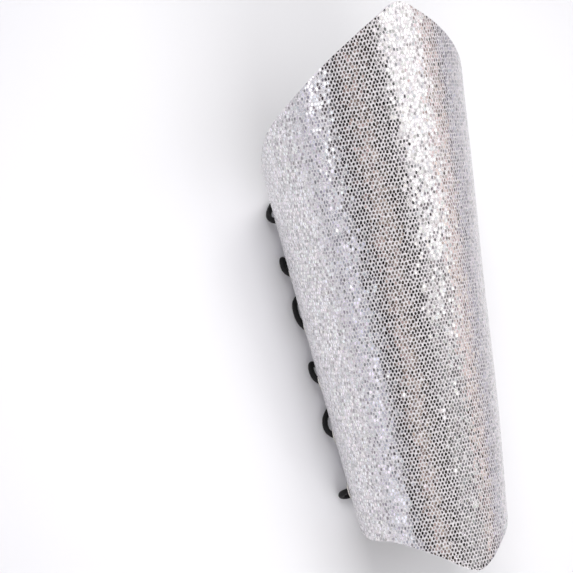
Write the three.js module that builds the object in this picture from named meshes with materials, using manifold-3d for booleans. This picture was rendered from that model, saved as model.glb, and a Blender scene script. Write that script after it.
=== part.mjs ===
// A laced arm bracer, in millimetres. It lies on the floor on its lacing, as it would by itself.
// +Z is up, +Y points to the elbow end and the origin is on the floor under the middle of the bracer.
// A sheet of glitter faux leather with a black lining is curled round the forearm as a tapered tube.
// Its two long edges leave a gap, which a round lace closes through six pairs of eyelets.
import * as THREE from "three";
import { mergeVertices } from "three/addons/utils/BufferGeometryUtils.js";
import Module from "manifold-3d";

const wasm = await Module();
wasm.setup();

// The sheet, measured round its outer face.
const LENGTH = 240; // from the tip of the wrist point to the tip of the elbow point
const ELBOW_WIDTH = 277; // flat width, in the plane of the elbow point's tip
const WRIST_WIDTH = 168; // flat width, in the plane of the wrist point's tip
const CURL = THREE.MathUtils.degToRad(273); // how far the sheet turns from one long edge to the other
const CROWN = 0.25; // how much tighter the curl is at the crown than on average
const ELBOW_POINT = 58; // how far the elbow point stands out past the corners
const WRIST_POINT = 30; // how far the wrist point stands out past the corners
const ELBOW_CORNER = 9; // radius of the sheet's corners at the elbow end
const WRIST_CORNER = 5; // radius of the sheet's corners at the wrist end

// The layers.
const SHELL_THICK = 1.4;
const LINING_THICK = 1.0;
const LAYER_GAP = 0.25; // the glue line between the two layers
const LINING_INSET = 1.0; // how far the lining stops short of the sheet's edge

// The eyelets.
const EYELETS_PER_SIDE = 6;
const EYELET_INSET = 9; // from the long edge to the middle of an eyelet
const ELBOW_MARGIN = 14; // from the corner at the elbow end to the first eyelet
const WRIST_MARGIN = 14; // from the corner at the wrist end to the last eyelet
const BORE_RADIUS = 2.5;
const BARREL_WALL = 0.4;
const FLANGE_RADIUS = 4.7; // the domed rim on the outer face
const FLANGE_HEIGHT = 0.9;
const CURL_RADIUS = 3.9; // the rolled rim on the lining
const CURL_HEIGHT = 0.85;
const SEAT_GAP = 0.25; // between an eyelet and the sheet
const HOLLOW_SAG = 0.15; // extra room under the rolled rim, where the lining is hollow

// The lace.
const LACE_RADIUS = 1.3;
const LOOP_LIFT = 3.4; // height of the lace's middle over the face, between an eyelet and the edge
const EDGE_CLEARANCE = 0.7; // between the lace and the long edge that it goes round
const CROSSING_LIFT = 1.9; // how far each strand bows up or down where two of them cross
const STRAND_DROP = 4.3; // how far the lace's middle is under the lining, before it turns into an eyelet
const TURN_DROP = 1.9; // the same, where it has turned into the eyelet
const KNOT_RADIUS = 4.0;
const KNOT_SPACING = 1.5; // from the knot's middle to each of the two strands in it
const KNOT_AHEAD = 9; // how far the knot lies past the last eyelets, towards the elbow
const TAIL_LENGTH = 13;

// How finely round things are divided.
const SHEET_STRIPS = 76;
const CORNER_STRIPS = 5;
const EYELET_SIDES = 12;
const LACE_SIDES = 8;
const STEPS_PER_LACE_POINT = 2;
const SECTION_STEPS = 400;

const WALL = SHELL_THICK + LAYER_GAP + LINING_THICK;

// The cut of each end, over half the sheet: how far it falls back from the point's tip.
// "across" is a share of the half width, and "fall" a share of the point's length.
const elbowCut = [
  { across: 0.0, fall: 0.0 },
  { across: 0.08, fall: 0.087 },
  { across: 0.2, fall: 0.245 },
  { across: 0.4, fall: 0.5 },
  { across: 0.6, fall: 0.69 },
  { across: 0.8, fall: 0.91 },
  { across: 1.0, fall: 1.0 },
];
const wristCut = [
  { across: 0.0, fall: 0.0 },
  { across: 0.08, fall: 0.09 },
  { across: 0.2, fall: 0.33 },
  { across: 0.4, fall: 0.63 },
  { across: 0.6, fall: 0.74 },
  { across: 0.8, fall: 0.93 },
  { across: 1.0, fall: 1.0 },
];

// How the lace lies outside each eyelet, one row for each pair, from the elbow end.
// "crest" and "over" are how far it has run towards the elbow at the top of its loop and where it
// goes over the edge, as shares of the eyelet spacing. "loose" scales the loop's height.
const laceRows = [
  { left: { crest: 0.22, over: 0.42, loose: 1.75 }, right: { crest: 0.08, over: 0.3, loose: 1.7 } },
  { left: { crest: 0.33, over: 0.0, loose: 1.55 }, right: { crest: 0.26, over: 0.5, loose: 1.3 } },
  { left: { crest: 0.5, over: 0.64, loose: 1.4 }, right: { crest: 0.1, over: 0.2, loose: 1.4 } },
  { left: { crest: 0.36, over: 0.31, loose: 1.4 }, right: { crest: 0.3, over: 0.55, loose: 1.35 } },
  { left: { crest: 0.33, over: 0.53, loose: 1.6 }, right: { crest: 0.12, over: 0.2, loose: 1.5 } },
  { left: { crest: -0.08, over: -0.1, loose: 2.25 }, right: { crest: 0.04, over: 0.1, loose: 2.2 } },
];

// The sheet's cross section at unit width, from the crown to one long edge: distance from the crown
// along the sheet, then how far out and how far down it lies, and its slope there.
function curledSection() {
  const steps = [{ along: 0, out: 0, down: 0, slope: 0 }];
  for (let i = 1; i <= SECTION_STEPS; i++) {
    const along = (0.5 * i) / SECTION_STEPS;
    const slope = CURL * (along + (CROWN * Math.sin(2 * Math.PI * along)) / (2 * Math.PI));
    const last = steps[i - 1];
    const middle = (slope + last.slope) / 2;
    const step = along - last.along;
    steps.push({
      along,
      out: last.out + Math.cos(middle) * step,
      down: last.down + Math.sin(middle) * step,
      slope,
    });
  }
  return steps;
}
const section = curledSection();
const sectionDepth = section[SECTION_STEPS].down;

function sheetWidth(y) {
  return WRIST_WIDTH + (ELBOW_WIDTH - WRIST_WIDTH) * (y / LENGTH + 0.5);
}

// The point over or under the outer face at a share of the width, -0.5 at the left long edge and
// 0.5 at the right one, with the directions towards the nearest long edge and out of the face.
function onSheet(share, y, lift = 0) {
  const side = share < 0 ? -1 : 1;
  const place = Math.min(Math.abs(share) / 0.5, 1) * SECTION_STEPS;
  const i = Math.min(Math.floor(place), SECTION_STEPS - 1);
  const t = place - i;
  const out = THREE.MathUtils.lerp(section[i].out, section[i + 1].out, t);
  const up = sectionDepth - THREE.MathUtils.lerp(section[i].down, section[i + 1].down, t);
  const slope = THREE.MathUtils.lerp(section[i].slope, section[i + 1].slope, t);
  const width = sheetWidth(y);
  const taper = (ELBOW_WIDTH - WRIST_WIDTH) / LENGTH;
  const edgeward = new THREE.Vector3(side * Math.cos(slope), 0, -Math.sin(slope));
  const generator = new THREE.Vector3(side * out * taper, 1, up * taper).normalize();
  const outward = edgeward.clone().cross(generator).multiplyScalar(side).normalize();
  const point = new THREE.Vector3(side * out * width, y, up * width).addScaledVector(outward, lift);
  return { point, edgeward, outward, generator };
}

// The same, by the distance from a long edge, which may be negative past the edge.
function besideEdge(side, fromEdge, y, lift) {
  const share = 0.5 - Math.max(fromEdge, 0) / sheetWidth(y);
  const at = onSheet(side * share, y, lift);
  at.point.addScaledVector(at.edgeward, Math.max(-fromEdge, 0));
  return at;
}

// A smooth curve through a table of { across, fall }, level at the middle of the sheet.
function fallAt(table, across) {
  const last = table.length - 1;
  const slopeAt = (i) => {
    if (i === 0) return 0;
    const before = table[i - 1];
    const after = table[Math.min(i + 1, last)];
    return (after.fall - before.fall) / (after.across - before.across);
  };
  const i = Math.min(table.findIndex((row, n) => n === last - 1 || table[n + 1].across >= across), last - 1);
  const span = table[i + 1].across - table[i].across;
  const t = (across - table[i].across) / span;
  const t2 = t * t;
  const t3 = t2 * t;
  return (
    table[i].fall * (2 * t3 - 3 * t2 + 1) +
    slopeAt(i) * span * (t3 - 2 * t2 + t) +
    table[i + 1].fall * (3 * t2 - 2 * t3) +
    slopeAt(i + 1) * span * (t3 - t2)
  );
}

// How much a rounded corner takes off an end of the sheet, at a distance from the long edge.
function cornerFall(radius, fromEdge) {
  const inside = Math.max(radius - fromEdge, 0);
  return radius - Math.sqrt(Math.max(radius * radius - inside * inside, 0));
}

const elbowCornerY = LENGTH / 2 - ELBOW_POINT;
const wristCornerY = WRIST_POINT - LENGTH / 2;
const ends = [
  { sign: 1, cut: elbowCut, point: ELBOW_POINT, corner: ELBOW_CORNER, cornerY: elbowCornerY },
  { sign: -1, cut: wristCut, point: WRIST_POINT, corner: WRIST_CORNER, cornerY: wristCornerY },
];

// One layer of the sheet between two lifts, cut "inset" inside the sheet's own outline.
function layer(outerLift, innerLift, inset) {
  const across = [];
  for (let i = 0; i <= SHEET_STRIPS; i++) across.push((2 * i) / SHEET_STRIPS - 1);
  for (const end of ends) {
    const radius = end.corner - inset;
    const half = sheetWidth(end.cornerY) / 2;
    for (let i = 1; i <= CORNER_STRIPS; i++) {
      const fromEdge = radius * (1 - Math.cos((Math.PI / 2) * (i / (CORNER_STRIPS + 1))));
      across.push(1 - fromEdge / (half - inset), fromEdge / (half - inset) - 1);
    }
  }
  across.sort((a, b) => a - b);
  const slantedInset = inset * 1.13; // the ends slope by about 28 degrees
  const cutY = (end, share) => {
    const half = sheetWidth(end.cornerY) / 2;
    const fall = end.point * fallAt(end.cut, Math.abs(share) * 2);
    const fromEdge = (1 - Math.abs(share) * 2) * half - inset;
    return end.sign * (LENGTH / 2 - fall - slantedInset - cornerFall(end.corner - inset, fromEdge));
  };
  const corners = [];
  for (const a of across) {
    const column = [];
    for (const end of ends) {
      const share = (a / 2) * (1 - (2 * inset) / sheetWidth(end.cornerY));
      const y = cutY(end, share);
      column.push(onSheet(share, y, outerLift).point, onSheet(share, y, innerLift).point);
    }
    corners.push(column);
  }
  // Each column holds the outer and inner corner at the elbow end, then those at the wrist end.
  const positions = corners.flat().flatMap((p) => p.toArray());
  const faces = [];
  const quad = (a, b, c, d) => faces.push(a, b, c, a, c, d);
  const around = [1, 0, 2, 3];
  for (let i = 0; i + 1 < corners.length; i++) {
    const here = 4 * i;
    const next = here + 4;
    around.forEach((from, n) => {
      const to = around[(n + 1) % 4];
      quad(here + from, here + to, next + to, next + from);
    });
  }
  const end = 4 * (corners.length - 1);
  quad(around[3], around[2], around[1], around[0]);
  quad(end + around[0], end + around[1], end + around[2], end + around[3]);
  const geometry = new THREE.BufferGeometry();
  geometry.setAttribute("position", new THREE.Float32BufferAttribute(positions, 3));
  geometry.setIndex(faces);
  return geometry;
}

// A closed three.js geometry as a solid that can be cut and joined.
function solidOf(geometry) {
  const bare = geometry.clone();
  bare.deleteAttribute("normal");
  bare.deleteAttribute("uv");
  const merged = mergeVertices(bare, 1e-4);
  return new wasm.Manifold(
    new wasm.Mesh({
      numProp: 3,
      vertProperties: merged.getAttribute("position").array,
      triVerts: new Uint32Array(merged.index.array),
    }),
  );
}

function geometryOf(solid) {
  const mesh = solid.getMesh();
  const geometry = new THREE.BufferGeometry();
  geometry.setAttribute("position", new THREE.BufferAttribute(mesh.vertProperties, 3));
  geometry.setIndex(new THREE.BufferAttribute(mesh.triVerts, 1));
  geometry.computeVertexNormals();
  return geometry;
}

// Where the eyelets sit: on each side, evenly spaced from the elbow end.
const eyeletPitch =
  (elbowCornerY - ELBOW_MARGIN - (wristCornerY + WRIST_MARGIN)) / (EYELETS_PER_SIDE - 1);
function eyeletY(row) {
  return elbowCornerY - ELBOW_MARGIN - row * eyeletPitch;
}

// The matrix that sets a shape made round the Y axis at an eyelet, with Y out of the face.
function eyeletMatrix(side, row) {
  const at = besideEdge(side, EYELET_INSET, eyeletY(row), 0);
  const along = at.edgeward.clone().cross(at.outward).normalize();
  return new THREE.Matrix4().makeBasis(at.edgeward, at.outward, along).setPosition(at.point);
}

function punched(geometry) {
  let solid = solidOf(geometry);
  const radius = BORE_RADIUS + BARREL_WALL + SEAT_GAP;
  for (const side of [-1, 1]) {
    for (let row = 0; row < EYELETS_PER_SIDE; row++) {
      const hole = new THREE.CylinderGeometry(radius, radius, 4 * WALL, EYELET_SIDES);
      solid = solid.subtract(solidOf(hole.applyMatrix4(eyeletMatrix(side, row))));
    }
  }
  return geometryOf(solid);
}

// An eyelet's closed profile, as radius and height over the face: domed rim, barrel, rolled rim.
function eyeletGeometry() {
  const barrel = BORE_RADIUS + BARREL_WALL;
  const rim = SEAT_GAP;
  const roll = -WALL - SEAT_GAP - HOLLOW_SAG;
  const profile = [
    [barrel, roll],
    [barrel, rim],
    [FLANGE_RADIUS, rim],
    [FLANGE_RADIUS - 0.7, rim + 0.75 * FLANGE_HEIGHT],
    [barrel + 0.1, rim + FLANGE_HEIGHT],
    [BORE_RADIUS, rim + 0.5 * FLANGE_HEIGHT],
    [BORE_RADIUS, roll - 0.5 * CURL_HEIGHT],
    [barrel + 0.15, roll - CURL_HEIGHT],
    [CURL_RADIUS - 0.15, roll - 0.65 * CURL_HEIGHT],
    [CURL_RADIUS, roll],
    [barrel, roll],
  ].map(([radius, height]) => new THREE.Vector2(radius, height));
  return new THREE.LatheGeometry(profile, EYELET_SIDES);
}

// A curve whose steps follow its control points, which are close together in the bends.
class LaceCurve extends THREE.CatmullRomCurve3 {
  getUtoTmapping(u) {
    return u;
  }
}

// The lace's way through one eyelet, from inside the tube out, over the long edge and into the gap.
function lacePass(side, row, arriving) {
  const { crest, over, loose } = laceRows[row % laceRows.length][side < 0 ? "left" : "right"];
  const top = LACE_RADIUS + (LOOP_LIFT - LACE_RADIUS) * loose;
  const round = LACE_RADIUS + EDGE_CLEARANCE;
  const way = [
    { fromEdge: 0.78 * EYELET_INSET, lift: -WALL - STRAND_DROP, run: -0.1 * arriving },
    { fromEdge: 0.97 * EYELET_INSET, lift: -WALL - TURN_DROP, run: -0.02 * arriving },
    { fromEdge: 0.99 * EYELET_INSET, lift: 0.7, run: 0.02 * crest },
    { fromEdge: 0.83 * EYELET_INSET, lift: 0.85 * top, run: 0.4 * crest },
    { fromEdge: 0.47 * EYELET_INSET, lift: top, run: crest },
    { fromEdge: 0, lift: round, run: over },
    { fromEdge: -0.95 * round, lift: -0.2 * WALL, run: over + 0.05 },
  ];
  const y = eyeletY(row);
  return way.map(({ fromEdge, lift, run }) => besideEdge(side, fromEdge, y + run * eyeletPitch, lift).point);
}

// One strand, from the wrist end's eyelet on one side to the last eyelet, crossing at each row.
function strandPoints(firstSide) {
  const points = [];
  let side = firstSide;
  for (let row = EYELETS_PER_SIDE - 1; row >= 0; row--) {
    const first = row === EYELETS_PER_SIDE - 1;
    const pass = lacePass(side, row, first ? 0 : 1);
    if (!first) {
      const crossing = points.at(-1).clone().lerp(pass[0], 0.5);
      crossing.z += firstSide * (row % 2 ? 1 : -1) * CROSSING_LIFT;
      points.push(crossing);
    }
    points.push(...pass);
    side = -side;
  }
  return points;
}

function laceGeometry() {
  const left = strandPoints(-1);
  const right = strandPoints(1);
  const knot = new THREE.Vector3(0, eyeletY(0) + KNOT_AHEAD, KNOT_RADIUS - 2 * LACE_RADIUS);
  // Each strand comes into the knot from its own edge and leaves it as a tail on the other side.
  const knotted = (strand) => {
    const from = Math.sign(strand.at(-1).x);
    const inside = knot.clone().add(new THREE.Vector3(0, -from * KNOT_SPACING, 0));
    const tail = knot.clone().add(new THREE.Vector3(-0.55 * from * TAIL_LENGTH, 0.85 * TAIL_LENGTH, 0));
    const bend = knot.clone().add(new THREE.Vector3(-0.9 * from * KNOT_RADIUS, 0.6 * KNOT_RADIUS, 0));
    return [...strand, inside, bend, tail];
  };
  const points = [...knotted(left).reverse(), ...knotted(right)];
  const round = new THREE.Shape();
  for (let i = 0; i < LACE_SIDES; i++) {
    const angle = (2 * Math.PI * (i + 0.5)) / LACE_SIDES;
    const corner = [LACE_RADIUS * Math.cos(angle), LACE_RADIUS * Math.sin(angle)];
    if (i === 0) round.moveTo(...corner);
    else round.lineTo(...corner);
  }
  const tube = new THREE.ExtrudeGeometry(round, {
    extrudePath: new LaceCurve(points, false, "centripetal"),
    steps: STEPS_PER_LACE_POINT * (points.length - 1),
  });
  const ball = new THREE.IcosahedronGeometry(KNOT_RADIUS, 1).translate(...knot);
  return geometryOf(solidOf(tube).add(solidOf(ball)));
}

const glitterSheet = new THREE.MeshStandardMaterial({ color: 0xcfccd3, roughness: 0.35, metalness: 0.55 });
const blackLining = new THREE.MeshStandardMaterial({ color: 0x0c0b0c, roughness: 0.85, metalness: 0 });
const nickel = new THREE.MeshStandardMaterial({ color: 0xd8d4cc, roughness: 0.2, metalness: 1 });
const blackCord = new THREE.MeshStandardMaterial({ color: 0x161617, roughness: 0.75, metalness: 0 });

function named(name, geometry, material) {
  const mesh = new THREE.Mesh(geometry, material);
  mesh.name = name;
  return mesh;
}

const bracer = new THREE.Group();
bracer.add(named("shell", punched(layer(0, -SHELL_THICK, 0)), glitterSheet));
bracer.add(named("lining", punched(layer(LINING_THICK - WALL, -WALL, LINING_INSET)), blackLining));
for (const [side, sideName] of [[-1, "left"], [1, "right"]]) {
  for (let row = 0; row < EYELETS_PER_SIDE; row++) {
    const eyelet = named(`eyelet_${sideName}_${row + 1}`, eyeletGeometry(), nickel);
    eyelet.applyMatrix4(eyeletMatrix(side, row));
    bracer.add(eyelet);
  }
}
bracer.add(named("lace", laceGeometry(), blackCord));

// The lace's loops at the long edges are the lowest thing, so the bracer stands on them.
bracer.updateMatrixWorld(true);
const bounds = new THREE.Box3().setFromObject(bracer, true);
const middle = bounds.getCenter(new THREE.Vector3());
bracer.position.set(-middle.x, -middle.y, -bounds.min.z);

export default bracer;
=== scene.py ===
"""Visual model of a laced arm bracer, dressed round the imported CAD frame.

The bracer is a pointed sheet of glitter faux leather with a black lining, curled round the forearm
and laced through two rows of eyelets. Sizes are in millimetres here and in metres in the meshes.
"""

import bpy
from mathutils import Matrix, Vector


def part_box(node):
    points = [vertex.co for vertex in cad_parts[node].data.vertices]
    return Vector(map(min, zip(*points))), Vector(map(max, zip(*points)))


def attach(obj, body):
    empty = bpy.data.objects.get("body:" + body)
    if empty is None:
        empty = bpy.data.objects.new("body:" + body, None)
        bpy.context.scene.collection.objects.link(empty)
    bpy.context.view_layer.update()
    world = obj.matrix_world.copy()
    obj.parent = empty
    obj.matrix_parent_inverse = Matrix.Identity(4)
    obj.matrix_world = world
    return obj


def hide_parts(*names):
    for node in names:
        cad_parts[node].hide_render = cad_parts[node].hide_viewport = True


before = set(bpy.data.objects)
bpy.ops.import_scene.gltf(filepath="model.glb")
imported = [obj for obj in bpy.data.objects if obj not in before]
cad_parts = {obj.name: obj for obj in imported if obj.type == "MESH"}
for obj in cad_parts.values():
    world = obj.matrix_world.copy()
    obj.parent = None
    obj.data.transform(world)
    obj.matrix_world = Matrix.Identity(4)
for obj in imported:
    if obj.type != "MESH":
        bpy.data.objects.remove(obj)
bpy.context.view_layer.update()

import itertools
import logging
import math
from dataclasses import dataclass
from enum import Enum

import bmesh
import bpy
import numpy as np
from mathutils import Matrix, Vector

MM = 0.001
CM2 = 0.0001
LEAST_RUN = 1e-4  # mm
ROOT = "root"
Tree, Node, Socket = bpy.types.NodeTree, bpy.types.Node, bpy.types.NodeSocket
log = logging.getLogger("bracer")


# Colours and nodes

MAP_RANGE = "ShaderNodeMapRange"
MATH = "ShaderNodeMath"
MIX = "ShaderNodeMix"
NOISE = "ShaderNodeTexNoise"
VECTOR_MATH = "ShaderNodeVectorMath"
WHITE_NOISE = "ShaderNodeTexWhiteNoise"
SMOOTH = {"interpolation_type": "SMOOTHSTEP"}
COLOURS = {"data_type": "RGBA"}
MULTIPLIED = {"data_type": "RGBA", "blend_type": "MULTIPLY"}
NOISE_SPAN = (0.3, 0.7)  # the values that soft noise mostly keeps to
IN_PLANE = (1.0, 1.0, 0.0)
MIDDLE = (0.5, 0.5, 0.5)
NO_LEAN = (0.5, 0.5, 1.0)  # a normal map's colour where the surface doesn't lean
WAVE_PERIOD = math.tau / 20  # of Blender's wave texture at a scale of 1


def srgb(code: str) -> tuple[float, float, float, float]:
    """Turns an sRGB hex colour into the linear values that a shader takes.

    Args:
        code: Six hex digits, such as "d6d2d9".

    Returns:
        Linear red, green and blue, with an alpha of 1.
    """
    parts = [int(code[i:i + 2], 16) / 255 for i in (0, 2, 4)]
    linear = [p / 12.92 if p <= 0.04045 else ((p + 0.055) / 1.055) ** 2.4 for p in parts]
    return (*linear, 1.0)


def set_inputs(tree: Tree, node: Node, inputs: dict | list) -> None:
    """Fills a node's sockets.

    Args:
        tree: The node's tree.
        node: The node.
        inputs: What goes into the first sockets, or into each socket by name or place: a node,
            whose first output is taken, one output of a node, or a value.
    """
    for name, value in inputs.items() if isinstance(inputs, dict) else enumerate(inputs):
        if isinstance(value, Node):
            value = value.outputs[0]
        if isinstance(value, Socket):
            tree.links.new(value, node.inputs[name])
        else:
            node.inputs[name].default_value = value


def add_node(
    tree: Tree, kind: str, settings: dict | str | None = None, inputs: dict | list | None = None,
) -> Node:
    """Adds one shader node with its settings and its links.

    Args:
        tree: The tree that the node goes into.
        kind: Blender's name of the node.
        settings: Values of the node's own properties, or the name of its operation.
        inputs: What goes into its sockets, as set_inputs takes it.

    Returns:
        The new node.
    """
    node = tree.nodes.new(kind)
    if isinstance(settings, str):
        settings = {"operation": settings}
    for name, value in (settings or {}).items():
        setattr(node, name, value)
    set_inputs(tree, node, inputs or {})
    return node


def new_material(name: str) -> tuple[bpy.types.Material, Tree, Node]:
    """Starts a material.

    Args:
        name: The real material's name.

    Returns:
        The material, its node tree and its Principled shader.
    """
    material = bpy.data.materials.new(name)
    material.use_nodes = True
    tree = material.node_tree
    shader = next(node for node in tree.nodes if node.type == "BSDF_PRINCIPLED")
    return material, tree, shader


@dataclass(frozen=True)
class Relief:
    """Soft unevenness of a surface, such as swells, grain or fibres."""

    size: float  # mm from one spot to the next
    depth: float  # mm
    strength: float = 1.0
    detail: float = 2.0  # how many finer layers it has
    roughness: float = 0.5  # how strong each finer layer is

    def add(self, tree: Tree, place: Socket, under: Node | None = None) -> tuple[Node, Node]:
        """Adds the unevenness to a material.

        Args:
            tree: The material's node tree.
            place: The coordinates that it follows, in metres.
            under: The relief that it lies on.

        Returns:
            The node that gives its height, about one half, and the one that gives its normals.
        """
        height = add_node(tree, NOISE, None, {
            "Vector": place, "Scale": 1 / (self.size * MM),
            "Detail": self.detail, "Roughness": self.roughness})
        normals = add_node(tree, "ShaderNodeBump", None, {
            "Height": height, "Distance": self.depth * MM, "Strength": self.strength})
        if under is not None:
            set_inputs(tree, normals, {"Normal": under})
        return height, normals


# Finishes

@dataclass(frozen=True)
class GlitterFauxLeather:
    """Polyurethane-coated cloth, hot-stamped with mirror-foil dots in staggered rows.

    The dots mirror the room, each at its own lean, and the pale coating between them looks soft.
    """

    ground: str = "d6d3d6"
    ground_metal: float = 0.15  # how much of the foil's shine shows through the pale ground
    ground_roughness: float = 0.34
    speck: tuple[float, float] = (0.64, 1.26)  # the ground's shade at its darkest and palest
    foil: str = "f2f0f2"
    foil_roughness: float = 0.2
    rainbow: float = 0.08  # share of a colour of its own in each dot's foil
    worn_foil: float = 0.38  # how bright the dullest dots are beside the best
    worn_share: float = 0.7  # share of the dots that are duller than the best
    pitch: float = 1.48  # mm from dot to dot across the bracer
    row_spacing: float = 1.51  # mm from row to row, because the cloth was stretched lengthways
    row_turn: float = 1.5  # degrees that the rows are off square
    row_waver: float = 0.32  # mm over which the rows waver
    wavers: float = 0.8  # for each dot across
    stray_across: float = 0.28  # mm over which single dots stray from their place in the row
    stray_along: float = 0.5  # mm
    dot_radius: float = 0.49  # mm, across the bracer
    dot_range: tuple[float, float] = (0.88, 1.15)  # what the largest and smallest radius go into
    dot_stretch: float = 1.38  # times longer, because the cloth was stretched with its dots on
    dot_rim: float = 0.07  # mm over which a dot ends
    tilt: float = 0.08  # how much the flattest dots lean at random, as a slope from side to side
    wild_tilt: float = 0.22  # how much the few loosest dots lean
    rarity: float = 8.0  # the higher, the fewer loose dots
    start: float = 400.0  # dots from the flat coordinates' origin, to count from below the sheet
    seed: float = 5.0
    swells: Relief = Relief(19.0, 0.22, detail=1.0)  # of the cloth
    dents: Relief = Relief(6.0, 0.10)  # of the coating
    grain: Relief = Relief(0.8, 0.02, strength=0.5, roughness=0.6)

    def nearest_dot(self, tree: Tree) -> tuple[Socket, Node]:
        """Finds the dot that each place of the flat sheet belongs to.

        Args:
            tree: The material's node tree.

        Returns:
            The way from the dot's centre, in pitches, and the node that numbers the dot.
        """
        flat = add_node(tree, "ShaderNodeUVMap", {"uv_map": "flat"})
        cell = (1.0, 2 * self.row_spacing / self.pitch, 1.0)
        half = tuple(value / 2 for value in cell)
        squared = add_node(tree, "ShaderNodeMapping", {"vector_type": "POINT"}, {
            "Vector": flat, "Location": (self.start, self.start, 0.0),
            "Rotation": (0.0, 0.0, math.radians(self.row_turn)),
            "Scale": (1 / (self.pitch * MM),) * 3})
        waver = add_node(tree, NOISE, {"noise_dimensions": "2D"}, {
            "Vector": squared, "Scale": self.wavers, "Detail": 0.0}).outputs["Color"]
        wavered = add_node(tree, VECTOR_MATH, "MULTIPLY_ADD", [
            waver, (self.row_waver / self.pitch,) * 3, squared])
        # Staggered rows are two square lattices, half a cell apart; the nearer centre wins.
        offsets = []
        for shift in ((0.0, 0.0, 0.0), half):
            moved = add_node(tree, VECTOR_MATH, "ADD", [wavered, shift])
            rest = add_node(tree, VECTOR_MATH, "MODULO", [moved, cell])
            centred = add_node(tree, VECTOR_MATH, "SUBTRACT", [rest, half])
            offsets.append(add_node(tree, VECTOR_MATH, "MULTIPLY", [centred, IN_PLANE]))
        lengths = [
            add_node(tree, VECTOR_MATH, "LENGTH", [offset]).outputs["Value"]
            for offset in offsets]
        nearer = add_node(tree, MATH, "LESS_THAN", lengths)
        offset = add_node(tree, MIX, {"data_type": "VECTOR"}, {
            "Factor": nearer, 4: offsets[1], 5: offsets[0]}).outputs[1]
        # The dot's own number, rounded so that it is the same all over the dot.
        centre = add_node(tree, VECTOR_MATH, "SUBTRACT", [wavered, offset])
        steps = add_node(tree, VECTOR_MATH, "MULTIPLY_ADD", [
            centre, (2.0, 2.0 / cell[1], 0.0), MIDDLE])
        return offset, add_node(tree, VECTOR_MATH, "FLOOR", [steps])

    def dot(self, tree: Tree, offset: Socket, chance: Socket, luck: Socket) -> Node:
        """Draws the dots, each a little astray and of its own size.

        Args:
            tree: The material's node tree.
            offset: The way from the dot's place in the row.
            chance: Three random numbers for each dot, which move it.
            luck: One random number for each dot, which sizes it.

        Returns:
            The node that gives 1 on a dot and 0 between the dots.
        """
        stray = (self.stray_across / self.pitch, self.stray_along / self.pitch, 0.0)
        astray = add_node(tree, VECTOR_MATH, "MULTIPLY_ADD", [chance, stray, offset])
        middle = tuple(value / 2 for value in stray)
        middled = add_node(tree, VECTOR_MATH, "SUBTRACT", [astray, middle])
        rounding = (1.0, 1 / self.dot_stretch, 0.0)
        rounded = add_node(tree, VECTOR_MATH, "MULTIPLY", [middled, rounding])
        distance = add_node(tree, VECTOR_MATH, "LENGTH", [rounded])
        smallness = add_node(tree, MAP_RANGE, None, [luck, 0.0, 1.0, *self.dot_range])
        radius = add_node(tree, MATH, "MULTIPLY", [distance.outputs["Value"], smallness])
        return add_node(tree, MAP_RANGE, SMOOTH, [
            radius, (self.dot_radius + self.dot_rim / 2) / self.pitch,
            (self.dot_radius - self.dot_rim / 2) / self.pitch])

    def lean(self, tree: Tree, dot: Node, chance: Socket, luck: Node) -> Node:
        """Leans the dots at random, a few of them much more, so single ones glint or go dark.

        Args:
            tree: The material's node tree.
            dot: The node that draws the dots.
            chance: Three random numbers for each dot, which give the way it leans.
            luck: One random number for each dot, which makes it loose.

        Returns:
            The node that gives the leaning dots' normals.
        """
        rarity = add_node(tree, MATH, "POWER", [luck, self.rarity])
        reach = add_node(tree, MAP_RANGE, None, [rarity, 0.0, 1.0, self.tilt, self.wild_tilt])
        around = add_node(tree, VECTOR_MATH, "SUBTRACT", [chance, MIDDLE])
        leant = add_node(tree, VECTOR_MATH, "SCALE", {0: around, "Scale": reach})
        lean = add_node(tree, VECTOR_MATH, "MULTIPLY_ADD", [leant, IN_PLANE, NO_LEAN])
        level = add_node(tree, MIX, {"data_type": "VECTOR"}, {
            "Factor": dot, 4: NO_LEAN, 5: lean}).outputs[1]
        return add_node(tree, "ShaderNodeNormalMap", {"uv_map": "flat"}, {"Color": level})

    def build(self) -> bpy.types.Material:
        """Makes the material, which reads the sheet's flat coordinates from its UV map, in metres.

        Returns:
            The finished material.
        """
        material, tree, shader = new_material("glitter_faux_leather")
        offset, number = self.nearest_dot(tree)
        chance = add_node(tree, WHITE_NOISE, {"noise_dimensions": "3D"}, {
            "Vector": number}).outputs["Color"]
        luck = add_node(tree, WHITE_NOISE, {"noise_dimensions": "4D"}, {
            "Vector": number, "W": self.seed})
        lucks = add_node(tree, "ShaderNodeSeparateColor", None, [luck.outputs["Color"]])
        dot = self.dot(tree, offset, chance, lucks.outputs["Blue"])
        place = add_node(tree, "ShaderNodeTexCoord").outputs["Object"]
        normals = self.lean(tree, dot, chance, luck)
        for relief in (self.swells, self.dents, self.grain):
            height, normals = relief.add(tree, place, normals)

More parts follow.
